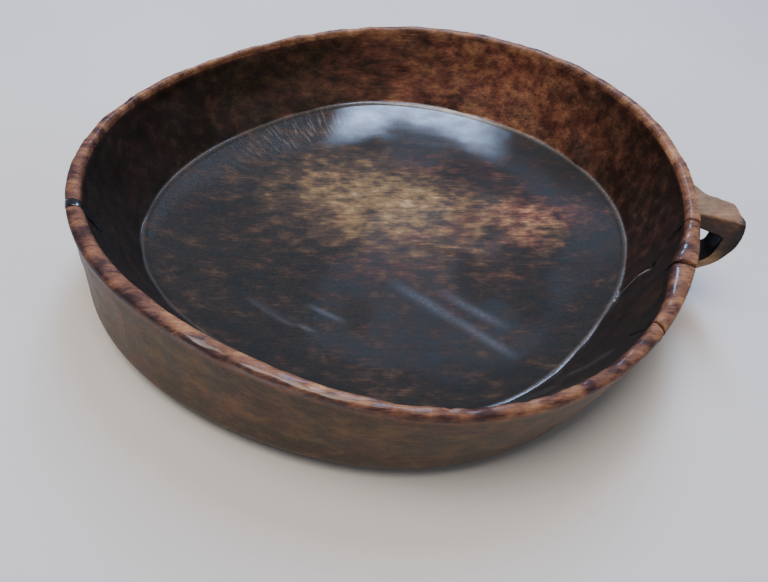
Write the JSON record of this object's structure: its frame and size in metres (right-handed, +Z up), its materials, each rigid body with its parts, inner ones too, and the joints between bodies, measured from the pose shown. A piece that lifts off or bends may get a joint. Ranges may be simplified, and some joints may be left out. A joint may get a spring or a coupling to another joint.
{
  "type": "carved wooden bowl",
  "caption": "Large shallow bowl carved from one block of wood, with a flat oval floor, leaning hand-cut walls, a wandering rim and a pierced ear handle.",
  "frame": {"origin": "centre of the resting face on the ground", "axes": "+Z up, +X towards the ear handle, along the grain; +Y across the grain"},
  "size_m": [0.6049, 0.5388, 0.1172],
  "materials": {
    "carved_wood": "dark, hand-rubbed satin with an orange-brown worn rim",
    "handle_wood": "hand-rubbed satin",
    "cleft_fill": "hard glossy dark fill"
  },
  "bodies": {
    "root": {"bowl_body": "carved_wood", "ear_handle": "handle_wood", "cleft_fill_west": "cleft_fill", "cleft_fill_handle": "cleft_fill", "cleft_fill_east": "cleft_fill", "cleft_fill_south": "cleft_fill"}
  },
  "joints": []
}
